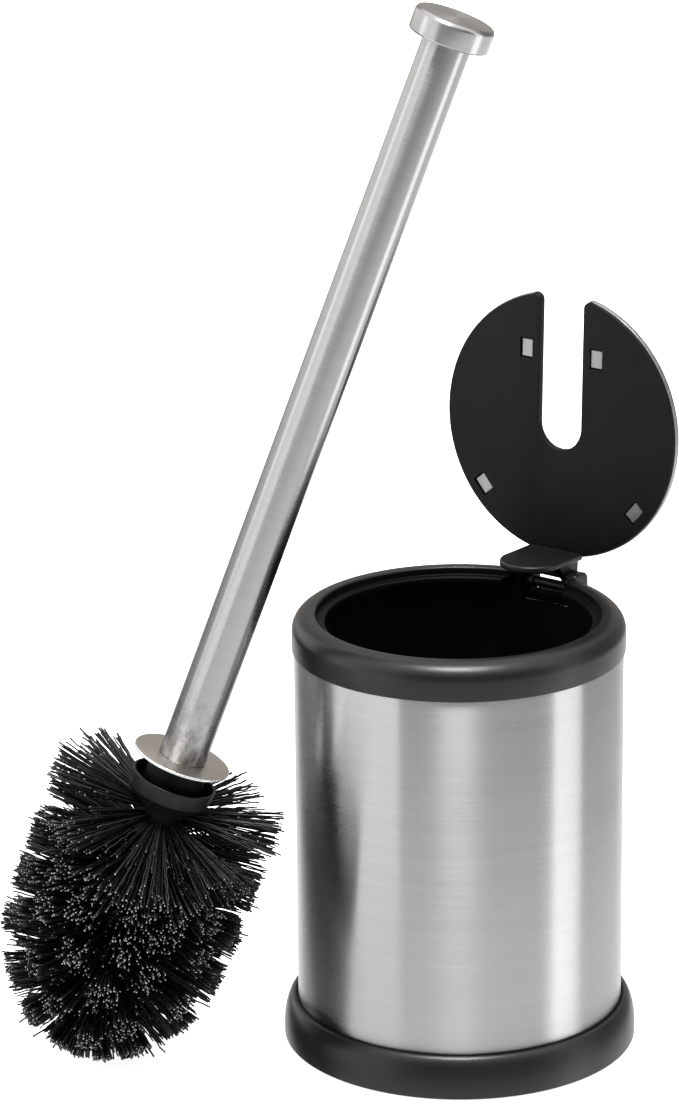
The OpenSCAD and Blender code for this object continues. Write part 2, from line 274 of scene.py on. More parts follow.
def slab(outline, low, high, edge, steps=3):
    """An outline in XY pulled along Z from low to high, with round edges, as vertices and faces."""
    rings = []
    for s in range(steps + 1):
        a = math.pi / 2 * s / steps
        rings.append((edge * (1 - math.sin(a)), low + edge * (1 - math.cos(a))))
    rings += [(depth, low + high - z) for depth, z in reversed(rings)]
    n = len(outline)
    verts, faces = [], []
    for depth, z in rings:
        verts += [(x, y, z) for x, y in (inset(outline, depth) if depth > 0 else outline)]
    for k in range(len(rings) - 1):
        for i in range(n):
            j = (i + 1) % n
            faces.append((k * n + i, k * n + j, k * n + n + j, k * n + n + i))
    faces.append(tuple(range(n - 1, -1, -1)))
    faces.append(tuple(range(len(verts) - n, len(verts))))
    return verts, faces


def turned(mesh, matrix):
    """The vertices moved by a matrix, with the same faces."""
    verts, faces = mesh
    return [tuple(matrix @ Vector(v)) for v in verts], faces


def block(low, high):
    """A box between two corners."""
    (x0, y0, z0), (x1, y1, z1) = low, high
    verts = [(x, y, z) for z in (z0, z1) for y in (y0, y1) for x in (x0, x1)]
    return verts, [(0, 2, 3, 1), (4, 5, 7, 6), (0, 1, 5, 4), (2, 6, 7, 3), (0, 4, 6, 2), (1, 3, 7, 5)]


def rod(radius, from_x, to_x, y, z, sides=64):
    """A round bar along X."""
    outline = [(0, from_x), (radius, from_x), (radius, to_x), (0, to_x)]
    along_x = Matrix.Translation((0, y, z)) @ Matrix.Rotation(math.pi / 2, 4, "Y")
    return turned(lathe(outline, sides), along_x)


def new_object(name, data):
    """An object of the scene, made from a mesh, a light or a camera."""
    obj = bpy.data.objects.new(name, data)
    bpy.context.scene.collection.objects.link(obj)
    return obj


def solid(name, mesh, place=HOLDER_PLACE):
    """A new object from vertices in millimetres and faces, with its normals facing out."""
    verts, faces = mesh
    data = bpy.data.meshes.new(name)
    data.from_pydata([tuple(c * MM for c in v) for v in verts], [], faces)
    work = bmesh.new()
    work.from_mesh(data)
    bmesh.ops.remove_doubles(work, verts=work.verts, dist=1e-7)
    bmesh.ops.dissolve_degenerate(work, edges=work.edges, dist=1e-8)
    bmesh.ops.recalc_face_normals(work, faces=work.faces)
    work.to_mesh(data)
    work.free()
    obj = new_object(name, data)
    obj.matrix_world = place
    return obj


def joined(obj, meshes, operation):
    """Adds each mesh to an object, or cuts it away, by an exact boolean that is applied at once."""
    for mesh in meshes:
        tool = solid("tool", mesh, obj.matrix_world)
        step = obj.modifiers.new("step", "BOOLEAN")
        step.operation = operation
        step.solver = "EXACT"
        step.object = tool
        bpy.context.view_layer.update()
        depsgraph = bpy.context.evaluated_depsgraph_get()
        made = bpy.data.meshes.new_from_object(obj.evaluated_get(depsgraph))
        obj.modifiers.clear()
        obj.data = made
        bpy.data.objects.remove(tool)
    return obj


def finished(obj, body, material, nodes, sharp=35):
    """Smooths a piece up to its sharp edges, gives it one or two materials and rides it on its body."""
    obj.data.materials.clear()
    for one in material if isinstance(material, (list, tuple)) else [material]:
        obj.data.materials.append(one)
    obj.data.shade_smooth()
    if sharp:
        obj.data.set_sharp_from_angle(angle=math.radians(sharp))
    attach(obj, body)
    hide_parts(*nodes)


def repainted(obj, chosen):
    """Gives the second material to each face whose middle, in millimetres, is chosen."""
    for face in obj.data.polygons:
        if chosen(*(face.center / MM)):
            face.material_index = 1


# ---- Materials ----

class Nodes:
    """A short way to write the nodes of a material or of the world."""

    def __init__(self, owner):
        self.owner = owner
        owner.use_nodes = True
        self.tree = owner.node_tree
        self.shader = self.tree.nodes.get("Principled BSDF")

    def add(self, kind, **values):
        node = self.tree.nodes.new(kind)
        for key, value in values.items():
            if key in node.inputs:
                node.inputs[key].default_value = value
            else:
                setattr(node, key, value)
        return node

    def link(self, source, target):
        self.tree.links.new(source, target)

    def set(self, **values):
        """Constants on the shader's own sockets."""
        for key, value in values.items():
            self.shader.inputs[key.replace("_", " ")].default_value = value

    def place(self, scale):
        """Coordinates of the piece, stretched by a scale for each axis, per metre."""
        source = self.add("ShaderNodeTexCoord")
        mapping = self.add("ShaderNodeMapping", Scale=scale)
        self.link(source.outputs["Object"], mapping.inputs["Vector"])
        return mapping.outputs["Vector"]

    def noise(self, vector, detail=4.0, roughness=0.6, scale=1.0):
        node = self.add("ShaderNodeTexNoise", Scale=scale, Detail=detail, Roughness=roughness)
        self.link(vector, node.inputs["Vector"])
        return node.outputs["Fac"]

    def between(self, value, low, high, to_low, to_high, kind="LINEAR"):
        """A value from one range mapped to another."""
        node = self.add("ShaderNodeMapRange", interpolation_type=kind)
        for key, number in zip(("From Min", "From Max", "To Min", "To Max"), (low, high, to_low, to_high)):
            node.inputs[key].default_value = number
        self.link(value, node.inputs["Value"])
        return node.outputs["Result"]

    def blend(self, factor, first, second):
        """Two colours blended by a factor; a colour may be another node's output."""
        node = self.add("ShaderNodeMix", data_type="RGBA")
        self.link(factor, node.inputs["Factor"])
        for socket, colour in ((node.inputs[6], first), (node.inputs[7], second)):
            if isinstance(colour, tuple):
                socket.default_value = colour
            else:
                self.link(colour, socket)
        return node.outputs[2]

    def times(self, first, second):
        node = self.add("ShaderNodeMath", operation="MULTIPLY")
        self.link(first, node.inputs[0])
        self.link(second, node.inputs[1])
        return node.outputs[0]

    def bump(self, height, strength, distance):
        node = self.add("ShaderNodeBump", Strength=strength, Distance=distance)
        self.link(height, node.inputs["Height"])
        self.link(node.outputs["Normal"], self.shader.inputs["Normal"])


def grey(level, warm=0.0):
    """A grey of one level, redder with more warmth."""
    return (level * (1 + warm), level, level * (1 - warm), 1.0)


def brushed_steel(name, level, warm=0.0, rough=0.3, aniso=0.8, soil=0.0, streaks=0.12):
    """Steel brushed round its own Z axis, with fine streaks and faint cloudy patches."""
    m = Nodes(bpy.data.materials.new(name))
    fine = m.noise(m.place((30, 30, 6000)), detail=5, roughness=0.7)
    wide = m.noise(m.place((14, 14, 420)), detail=4, roughness=0.55)
    cloud = m.noise(m.place((28, 28, 28)), detail=3, roughness=0.5)
    streak = m.blend(m.between(fine, 0.3, 0.7, 0, 1), grey(level * 0.93, warm), grey(level * 1.05, warm))
    colour = m.blend(m.between(wide, 0.35, 0.65, 0.0, 0.35), streak, grey(level * 0.86, warm))
    roughness = m.between(fine, 0.25, 0.75, rough * 0.88, rough * 1.14)
    if soil:
        split = m.add("ShaderNodeSeparateXYZ")
        m.link(m.place((1, 1, 1)), split.inputs[0])
        near_end = m.between(split.outputs["Z"], 0.0, 0.03, 1.0, 0.0)
        blotch = m.noise(m.place((260, 260, 150)), detail=5, roughness=0.65)
        factor = m.times(near_end, m.between(blotch, 0.42, 0.62, 0.0, soil))
        colour = m.blend(factor, colour, grey(level * 0.28, warm + 0.05))
    m.link(colour, m.shader.inputs["Base Color"])
    cloudy = m.blend(m.between(cloud, 0.4, 0.62, 0, 0.25), roughness, grey(rough * 1.35))
    m.link(cloudy, m.shader.inputs["Roughness"])
    m.set(Metallic=1.0, Anisotropic=aniso, Anisotropic_Rotation=0.25)
    tangent = m.add("ShaderNodeTangent", direction_type="RADIAL", axis="Z")
    m.link(tangent.outputs["Tangent"], m.shader.inputs["Tangent"])
    m.bump(fine, streaks, 0.00002)
    return m.owner


def moulded_plastic(name, level, rough=0.45, grain=2600, depth=0.00003, strength=0.35, gloss=0.4):
    """Black plastic with the fine even texture of its mould, and slight wear in the sheen."""
    m = Nodes(bpy.data.materials.new(name))
    texture = m.noise(m.place((grain,) * 3), detail=2, roughness=0.5)
    patch = m.noise(m.place((55, 55, 55)), detail=3, roughness=0.5)
    colour = m.blend(m.between(patch, 0.35, 0.65, 0, 1), grey(level * 0.88), grey(level * 1.12))
    m.link(colour, m.shader.inputs["Base Color"])
    m.link(m.between(patch, 0.3, 0.7, rough * 0.93, rough * 1.08), m.shader.inputs["Roughness"])
    m.set(Specular_IOR_Level=gloss)
    m.bump(texture, strength, depth)
    return m.owner


def pressed_steel(name, level, warm=0.0, rough=0.3):
    """Plain rolled sheet with a faint grain."""
    m = Nodes(bpy.data.materials.new(name))
    grain = m.noise(m.place((900, 120, 900)), detail=4)
    colour = m.blend(grain, grey(level * 0.85, warm), grey(level * 1.1, warm))
    m.link(colour, m.shader.inputs["Base Color"])
    m.link(m.between(grain, 0.3, 0.7, rough * 0.8, rough * 1.2), m.shader.inputs["Roughness"])
    m.set(Metallic=1.0)
    m.bump(grain, 0.1, 0.00003)
    return m.owner


def foam(name):
    """Matt black foam rubber with open cells."""
    m = Nodes(bpy.data.materials.new(name))
    cells = m.noise(m.place((1800,) * 3), detail=3)
    m.link(m.blend(cells, grey(0.012), grey(0.03)), m.shader.inputs["Base Color"])
    m.set(Roughness=0.9)
    m.bump(cells, 0.6, 0.0001)
    return m.owner


def filament(name):
    """Black waxy filament; each one is a little lighter or darker than the next."""
    m = Nodes(bpy.data.materials.new(name))
    island = m.add("ShaderNodeNewGeometry").outputs["Random Per Island"]
    m.link(m.blend(island, grey(0.002), grey(0.007)), m.shader.inputs["Base Color"])
    m.link(m.between(island, 0, 1, 0.34, 0.5), m.shader.inputs["Roughness"])
    m.link(m.between(island, 0.2, 1, 0.06, 0.62), m.shader.inputs["Specular IOR Level"])
    return m.owner


def cut_tip(name):
    """The pale cut end of a filament."""
    m = Nodes(bpy.data.materials.new(name))
    island = m.add("ShaderNodeNewGeometry").outputs["Random Per Island"]
    m.link(m.blend(island, grey(0.05), grey(0.42)), m.shader.inputs["Base Color"])
    m.set(Roughness=0.6)
    return m.owner


SHELL_STEEL = brushed_steel("shell_steel", 0.48, rough=0.27, aniso=1.0, streaks=0.1)
HANDLE_STEEL = brushed_steel("handle_steel", 0.44, warm=0.01, rough=0.27, aniso=0.88, soil=0.85)
CAP_STEEL = brushed_steel("cap_steel", 0.44, warm=0.015, rough=0.26, aniso=0.7)
DISC_STEEL = brushed_steel("disc_steel", 0.52, warm=0.06, rough=0.3, aniso=0.4)
# Near-white copy of the steel: a painted highlight on the splash disc's rim
EDGE_HIGHLIGHT_STEEL = pressed_steel("edge_highlight_steel", 0.92, rough=0.28)
PIN_STEEL = pressed_steel("pin_steel", 0.62)
LID_STEEL = pressed_steel("lid_steel", 0.38, rough=0.4)
RIM_PLASTIC = moulded_plastic("satin_black_plastic", 0.006, rough=0.31, strength=0.9, depth=0.00006)
LID_PLASTIC = moulded_plastic("lid_plastic", 0.005, rough=0.48, strength=0.25, gloss=0.16)
LEVER_PLASTIC = moulded_plastic("lever_plastic", 0.008, rough=0.40, strength=0.3)
LINER_PLASTIC = moulded_plastic("liner_plastic", 0.003, rough=0.45, strength=0.1, gloss=0.2)
# Darker, duller copy of the black plastic: painted shade in the mouth and hinge notch, along the foot's
# lip and inside the brush's cup
PAINTED_SHADE_PLASTIC = moulded_plastic("painted_shade_plastic", 0.003, rough=0.5, strength=0.15, gloss=0.1)
HEAD_PLASTIC = moulded_plastic("head_plastic", 0.008, rough=0.38, strength=0.15, gloss=0.28)
INNER_PLASTIC = moulded_plastic("inner_plastic", 0.05, rough=0.5)
PAD_FOAM = foam("pad_foam")
FILAMENT = filament("bristle")
CUT_TIP = cut_tip("bristle_tip_cut")


# ---- Holder ----

def base_foot():
    recess_r, recess_top = PAD_R + 0.2, PAD_TOP + 0.05
    outline = [(0, recess_top), (recess_r, recess_top), (recess_r, FOOT_LOW)]
    outline.append((BAND_R - FOOT_EDGE, FOOT_LOW))
    outline += arc(BAND_R - FOOT_EDGE, FOOT_LOW + FOOT_EDGE, FOOT_EDGE, -90, 0, 6)
    flare_w, flare_h = BAND_R - FOOT_LIP_R, FOOT_TOP - 0.3 - BAND_TOP
    outline += arc(FOOT_LIP_R, BAND_TOP, flare_w, 0, 90, 28, radius_y=flare_h)
    outline += arc(FOOT_LIP_R - 0.25, FOOT_TOP - 0.3, 0.3, 60, 150, 5)
    outline += [(SHELL_R + 0.12, FOOT_TOP - 0.5), (SHELL_R + 0.12, SHELL_LOW), (0, SHELL_LOW)]
    foot = solid("foot_ring", lathe(outline))
    finished(foot, "holder", [RIM_PLASTIC, PAINTED_SHADE_PLASTIC], ["base_foot"])
    # Painted shade: the lip against the shell takes the darker, duller plastic
    repainted(foot, lambda x, y, z: math.hypot(x, y) < FOOT_LIP_R + 0.15 and z > FOOT_TOP - 1.5)


def outer_shell():
    wall = SHELL_R - SHELL_WALL
    outline = rounded([
        (wall, SHELL_LOW, 0.1), (SHELL_R, SHELL_LOW, 0.2),
        (SHELL_R, SHELL_TOP, 0.2), (wall, SHELL_TOP, 0.1)
    ], 3)
    shell = solid("steel_shell", lathe(outline, 256))
    finished(shell, "holder", SHELL_STEEL, ["outer_shell"])


def rim_outline(ledge_z):
    """Section of the ring: its round shoulder, the ledge for the lid, and the skirt inside the shell."""
    shoulder_r, shoulder_z = RIM_R - RIM_ROUND, RIM_TOP - RIM_ROUND
    outline = [(SHELL_R + 0.1, SEAM_Z + 0.1)] + arc(RIM_R - 0.3, SEAM_Z + 0.3, 0.3, -90, 0, 4)
    outline += arc(shoulder_r, shoulder_z, RIM_ROUND, 0, 90, 30)
    outline += arc(MOUTH_R + MOUTH_ROUND, RIM_TOP - MOUTH_ROUND, MOUTH_ROUND, 90, 180, 10)
    outline += [
        (MOUTH_R, ledge_z + 0.2), (MOUTH_R - 0.2, ledge_z), (MOUTH_R - LEDGE_W + 0.3, ledge_z),
        (MOUTH_R - LEDGE_W, ledge_z - 0.3), (MOUTH_R - LEDGE_W, ledge_z - LEDGE_T),
        (MOUTH_R + 2.6, ledge_z - LEDGE_T), (SKIRT_R - SKIRT_W, ledge_z - LEDGE_T - 2),
        (SKIRT_R - SKIRT_W, SKIRT_Z), (SKIRT_R, SKIRT_Z), (SKIRT_R, GROOVE_Z), (SHELL_R + 0.1, GROOVE_Z)
    ]
    return outline


def rim_webs():
    """Low slabs across the notch: one under the barrel, one a little lower out to the lugs."""
    webs = []
    for half, top in ((WEB_HALF, WEB_TOP), (LUG_IN + 0.5, SIDE_WEB_TOP)):
        front, back, low = HINGE.y - WEB_BACK, HINGE.y + WEB_BACK, NOTCH_Z - 1
        plan = rounded([(front, low, 0), (back, low, 0), (back, top, 0.5), (front, top, 0.5)])
        webs.append(turned(slab(plan, -half, half, 0.2), SIDE_ON))
    return webs


def rim_collar():
    ledge_z = LID_Z - 0.2
    rim = solid("rim_ring", lathe(rim_outline(ledge_z), 224))
    lug_low = NOTCH_Z + 0.5
    lug_plan = rounded([
        (LUG_FRONT, lug_low, 0), (LUG_BACK, lug_low, 0.6),
        (LUG_BACK, LUG_TOP, 3), (LUG_FRONT, LUG_TOP, 1.2)
    ])
    lugs = [turned(slab(lug_plan, x, x + LUG_W, 0.45), SIDE_ON) for x in (LUG_IN, -LUG_OUT)]
    joined(rim, lugs, "UNION")
    cut_half = PADDLE_HALF + 0.5
    ledge_half = PADDLE_HALF + 1.8
    cuts = [
        block((-LUG_IN, 0, NOTCH_Z), (LUG_IN, LUG_BACK + 1, RIM_TOP + 5)),
        block((-cut_half, 0.1, NOTCH_Z + 0.01), (cut_half, LUG_FRONT, RIM_TOP + 4)),
        block((-LUG_IN + 0.01, 0.2, SEAM_Z - 1), (LUG_IN - 0.01, SKIRT_R - 1, RIM_TOP)),
        block((-ledge_half, 0.3, ledge_z - LEDGE_T - 1), (ledge_half, MOUTH_R - 0.6, ledge_z + 0.1)),
        rod(PIN_R + 0.02, -LUG_OUT - 1, LUG_OUT + 1, HINGE.y, HINGE.z)
    ]
    joined(rim, cuts, "DIFFERENCE")
    joined(rim, rim_webs(), "UNION")
    finished(rim, "holder", [RIM_PLASTIC, PAINTED_SHADE_PLASTIC], ["rim_collar"], 32)

    # Painted shade: faces in the mouth and the hinge notch take the darker, duller plastic
    def inside(x, y, z):
        in_mouth = math.hypot(x, y) < MOUTH_R + 0.25 and z < RIM_TOP - 0.5
        in_notch = abs(x) < LUG_IN + 0.1 and y > MOUTH_R - LEDGE_W and z < HINGE.z - 1
        return in_mouth or in_notch

    repainted(rim, inside)


# ---- Lid ----

def lid_plan(radius):
    """Counter-clockwise outline of the round lid, its slot towards -Y and round at the mouth's corners."""
    half, corner = SLOT_HALF, SLOT_CORNER
    corner_x = half + corner
    corner_y = -math.sqrt((radius - corner) ** 2 - corner_x ** 2)
    meet = math.degrees(math.atan2(corner_y, corner_x))
    right = arc(corner_x, corner_y, corner, 180, 360 + meet, 10)
    edge = arc(0, 0, radius, meet, 180 - meet, 160)
    left = [(-x, y) for x, y in reversed(right)]
    end = arc(0, 0, half, 180, 0, 28)
    return right + edge[1:-1] + left + end


def tab_places():
    """Places of the four windows: beside the slot, and near the edge on the hinge's side."""
    places = []
    for side in (1, -1):
        near = Matrix.Translation((side * TAB_NEAR[0], TAB_NEAR[1], LID_Z))
        places.append(near @ Matrix.Scale(side, 4, (1, 0, 0)))
        turn = TAB_FAR_ANGLE if side > 0 else math.pi - TAB_FAR_ANGLE
        spun = Matrix.Translation((0, 0, LID_Z)) @ Matrix.Rotation(turn, 4, "Z")
        places.append(spun @ Matrix.Translation((TAB_FAR_R, 0, 0)))
    return places


def lid_plate():
    plate = solid("lid_disc", slab(lid_plan(PLATE_R), LID_Z, LID_Z + PLATE_T, 0.35), LID_PLACE)
    window = block((-TAB_W / 2, -TAB_L / 2, -1), (TAB_W / 2, TAB_L / 2, TAB_DEPTH))
    slit_end = TAB_L / 2 - 0.3
    slit = block((TAB_W / 2 - TAB_SLIT, -slit_end, -1), (TAB_W / 2 - 0.01, slit_end, PLATE_T + 1))
    cuts = [turned(cut, place) for place in tab_places() for cut in (window, slit)]
    joined(plate, cuts, "DIFFERENCE")
    finished(plate, "lid", LID_PLASTIC, ["lid_plate"], 30)


def tab_side():
    """Side outline of one folded tab: down through its slit, then flat in its window."""
    low = TAB_DEPTH - SKIN_T - 0.05
    right = TAB_W / 2 - 0.2
    left = -TAB_W / 2 + 0.3
    bend = 0.7
    return [
        (left, low), *arc(right - bend, low + bend, bend, -90, 0, 6), (right, PLATE_T + 0.1),
        (right - SKIN_T, PLATE_T + 0.1),
        *arc(right - bend, low + bend, bend - SKIN_T, 0, -90, 6), (left, low + SKIN_T)
    ]


def lid_skin():
    top = LID_Z + PLATE_T
    pan = slab(lid_plan(SKIN_R), top - SKIN_EDGE, top + SKIN_T, 0.15)
    skin = solid("lid_steel_skin", pan, LID_PLACE)
    hollow = lathe([(0, top - 5), (PLATE_R + 0.02, top - 5), (PLATE_R + 0.02, top), (0, top)], 320)
    mouth = SLOT_HALF + SLOT_CORNER + 0.6
    open_slot = block((-mouth, -SKIN_R - 1, top - 5), (mouth, 10, top - 0.001))
    joined(skin, [hollow, open_slot], "DIFFERENCE")
    tab = turned(slab(tab_side(), -TAB_L / 2 + 0.5, TAB_L / 2 - 0.5, 0.08, 1), FACING_FRONT)
    finished(skin, "lid", LID_STEEL, ["lid_skin"], 30)
    for number, place in enumerate(tab_places(), 1):
        piece = solid(f"lid_tab_{number}", turned(tab, place), LID_PLACE)
        finished(piece, "lid", LID_STEEL, ["lid_skin"], 40)


def lid_lever():
    low = LID_Z - PADDLE_L
    paddle = arc(0, low + PADDLE_HALF, PADDLE_HALF, 180, 360, 48)
    paddle += [(PADDLE_HALF, LID_Z), (-PADDLE_HALF, LID_Z)]
    plate = slab(paddle, PADDLE_Y - PADDLE_T, PADDLE_Y, 0.8, 5)
    lever = solid("closing_lever", turned(plate, FACING_BACK), LID_PLACE)
    root_y = PADDLE_Y - 0.4
    side = [
        (root_y, LID_Z - ARM_REACH), (HINGE.y - 1.8, HINGE.z - EYE_R + 0.7),
        (HINGE.y - 0.3, HINGE.z - EYE_R + 0.3), (HINGE.y - 0.3, HINGE.z + EYE_R - 0.1),
        (root_y, LID_Z - 0.05)
    ]
    eye = arc(HINGE.y, HINGE.z, EYE_R, 0, 360, 48)[:-1]
    parts = []
    for start in (ARM_OUT - ARM_W, -ARM_OUT):
        parts.append(turned(slab(side, start, start + ARM_W, 0.25, 2), SIDE_ON))
        parts.append(turned(slab(eye, start - 0.02, start + ARM_W + 0.02, 0.25, 2), SIDE_ON))
    # Between the arms: a plate, and a barrel round the pin
    half = ARM_OUT - ARM_W / 2
    parts.append(block((-half, root_y, HINGE.z - 0.8), (half, HINGE.y - BARREL_R - 1.2, HINGE.z + 0.8)))
    parts.append(rod(BARREL_R, -half, half, HINGE.y, HINGE.z))
    joined(lever, parts, "UNION")
    joined(lever, [rod(PIN_R + 0.07, -ARM_OUT - 1, ARM_OUT + 1, HINGE.y, HINGE.z)], "DIFFERENCE")
    finished(lever, "lid", LEVER_PLASTIC, ["lid_lever"], 35)


# ---- Brush ----

def handle():
    tube_top = HANDLE_L - CAP_H + 1.1
    inner, tube_low = HANDLE_R - HANDLE_WALL, DISC_T / 2
    wall = rounded([
        (inner, tube_low, 0.2), (HANDLE_R, tube_low, 0.3),
        (HANDLE_R, tube_top, 0.2), (inner, tube_top, 0.2)
    ], 3)
    tube = solid("handle_pipe", lathe(wall, 128), BRUSH_PLACE)
    finished(tube, "brush", HANDLE_STEEL, ["handle_tube"])
    bottom = HANDLE_L - CAP_H
    socket_r, socket_top, bore_top = HANDLE_R + 0.05, bottom + SOCKET_DEEP, bottom + BORE_DEEP
    outline = rounded([
        (socket_r, bottom, 0.3), (CAP_R, bottom, 0.8), (CAP_R, HANDLE_L, CAP_ROUND), (0, HANDLE_L, 0),
        (0, bore_top, 0), (BORE_R, bore_top, 0), (BORE_R, socket_top, 0), (socket_r, socket_top, 0)
    ], 8)
    cap = solid("handle_knob", lathe(outline, 160), BRUSH_PLACE)
    finished(cap, "brush", CAP_STEEL, ["handle_cap"])


def splash_disc():
    half = DISC_T / 2
    outline = rounded([(3.3, -half, 0), (DISC_R, -half, 0.42), (DISC_R, half, 0.42), (3.3, half, 0)], 5)
    disc = solid("splash_plate", lathe(outline, 160), BRUSH_PLACE)
    finished(disc, "brush", [DISC_STEEL, EDGE_HIGHLIGHT_STEEL], ["splash_disc"])
    # Painted highlight: the rounded rim of the disc takes the near-white steel
    repainted(disc, lambda x, y, z: math.hypot(x, y) > DISC_R - 0.3)


def head_core():
    cup_low = -CUP_TOP - 6
    cup_in = CUP_R - CUP_WALL
    outline = rounded([
        (0, -DISC_T / 2, 0), (NECK_R, -DISC_T / 2, 0.3), (NECK_R, -NECK_DOWN, 1.0),
        (cup_in - 1, -NECK_DOWN, 0.5), (cup_in, -CUP_TOP, 0.35), (CUP_R, -CUP_TOP, 0.35),
        (CUP_R - 0.9, cup_low, 1.8), (CORE_R + 1.5, cup_low - 4.5, 2.0), (CORE_R, -CORE_TOP - 1, 1.0),
        (CORE_R, -CORE_END, 5.0), (0, -CORE_END, 0)
    ], 8)
    core = solid("brush_core", lathe(outline, 128), BRUSH_PLACE)
    finished(core, "brush", [HEAD_PLASTIC, PAINTED_SHADE_PLASTIC], ["head_core"])
    # Painted shade: the inside of the cup, round the neck, takes the darker, duller plastic
    repainted(core, lambda x, y, z: z > -NECK_DOWN - 0.5 and math.hypot(x, y) < cup_in + 0.1)


# ---- Bristles ----

def row_tilt(row):
    """Angle of a row of tufts above level: the first rows point up, the last ones down."""
    last = ROWS - 1
    if row < LEVEL_ROW:
        return math.radians(ROW_TILT[row])
    if row > LEVEL_ROW + 1:
        return -TILT_DOWN * ((row - LEVEL_ROW - 1) / (last - LEVEL_ROW - 1)) ** 1.6
    return 0.0


def reach(height, tilt):
    """Distance from the axis to the head's outline: a cylinder, then half an ellipsoid below it."""
    straight = BRISTLE_R / max(math.cos(tilt), 0.01)
    if height + straight * math.sin(tilt) > -TAPER_START:
        return straight
    taper = HEAD_END - TAPER_START
    h = height + TAPER_START
    qa = (math.cos(tilt) / BRISTLE_R) ** 2 + (math.sin(tilt) / taper) ** 2
    qb = h * math.sin(tilt) / taper ** 2
    qc = (h / taper) ** 2 - 1
    return (-qb + math.sqrt(max(qb * qb - qa * qc, 0))) / qa


def add_filament(verts, faces, marks, path, radius, sides=4):
    """A thin tube along a path, its far end closed by a face marked as a cut tip."""
    base = len(verts)
    for i, point in enumerate(path):
        along = (path[min(i + 1, len(path) - 1)] - path[max(i - 1, 0)]).normalized()
        across = along.orthogonal().normalized()
        up = along.cross(across)
        for k in range(sides):
            a = 2 * math.pi * k / sides
            verts.append(tuple(point + (across * math.cos(a) + up * math.sin(a)) * radius))
    for i in range(len(path) - 1):
        for k in range(sides):
            a, b = base + i * sides + k, base + i * sides + (k + 1) % sides
            faces.append((a, b, b + sides, a + sides))
            marks.append(0)
    end = base + (len(path) - 1) * sides
    faces.append(tuple(end + k for k in range(sides)))
    marks.append(1)
    faces.append(tuple(base + k for k in reversed(range(sides))))
    marks.append(0)


def tuft(out, rand, height, tilt, turn, spread, wide, stray):
    """One tuft: filaments fan out from one hole in the core and end at the head's outline.

    Some end early and lean out of the fan, and a few strays are longer and bent.
    """
    for i in range(TUFT_COUNT):
        rho = math.sqrt((i + 0.5) / TUFT_COUNT)
        theta = i * GOLDEN_TURN + rand.uniform(-0.5, 0.5)
        rho = min(1.0, rho + rand.uniform(-0.06, 0.06))
        up = tilt + spread * rho * math.sin(theta) + rand.gauss(0, 0.018)
        sideways = spread * wide * rho * math.cos(theta) / max(math.cos(tilt), 0.35)
        heading = turn + sideways + rand.gauss(0, 0.018)
        wild = rand.random() < stray
        length = min(reach(height, up), LONGEST) + rand.gauss(0, 0.55)
        if rand.random() < SHORT_SHARE:
            length *= rand.uniform(0.5, 0.85)
            up += rand.gauss(0, 0.12)
            heading += rand.gauss(0, 0.2)
        if wild:
            length += rand.uniform(0.5, 3)
            up += rand.gauss(0, 0.09)
            heading += rand.gauss(0, 0.09)
        level = math.cos(up)
        direction = Vector((level * math.cos(heading), level * math.sin(heading), math.sin(up)))
        side = direction.orthogonal().normalized()
        side.rotate(Matrix.Rotation(rand.uniform(0, 2 * math.pi), 3, direction))
        other = direction.cross(side)
        bend = rand.gauss(0, 0.7) + (rand.uniform(-3, 3) if wild else 0)
        phase, crimp = rand.uniform(0, 2 * math.pi), rand.uniform(0.08, 0.3)
        wave = rand.uniform(4.5, 7.5)
        start = CORE_R * 0.75
        root = Vector((0, 0, height))
        path = []
        for s in range(FILAMENT_STEPS + 1):
            t = s / FILAMENT_STEPS
            d = start + (length - start) * t
            ripple = crimp * math.sin(2 * math.pi * d / wave + phase) * min(1.0, 2 * t)
            point = root + direction * d + side * (bend * t * t) + other * ripple
            path.append(BRUSH_PLACE @ (point * MM) / MM)
        while path[-1].z < FLOOR_GAP:
            path.pop()
        add_filament(*out, path, FILAMENT_R * rand.uniform(0.88, 1.1))


def bristle_piece(name, node, tufts, seed):
    """One row of tufts as one piece, its cut tips in the second material."""
    rand = random.Random(seed)
    verts, faces, marks = [], [], []
    for one in tufts:
        tuft((verts, faces, marks), rand, *one)
    data = bpy.data.meshes.new(name)
    data.from_pydata([tuple(c * MM for c in v) for v in verts], [], faces)
    data.polygons.foreach_set("material_index", marks)
    obj = new_object(name, data)
    data.materials.append(FILAMENT)
    data.materials.append(CUT_TIP)
    data.polygons.foreach_set("use_smooth", [mark == 0 for mark in marks])
    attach(obj, "brush")
    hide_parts(node)


def pressed(row, turn):
    """How far the upper tufts are pressed down on one side of the head."""
    most = math.radians(PRESSED[row]) if row < len(PRESSED) else 0
    return most * max(0.0, math.cos(turn - PRESSED_SIDE)) ** 1.5


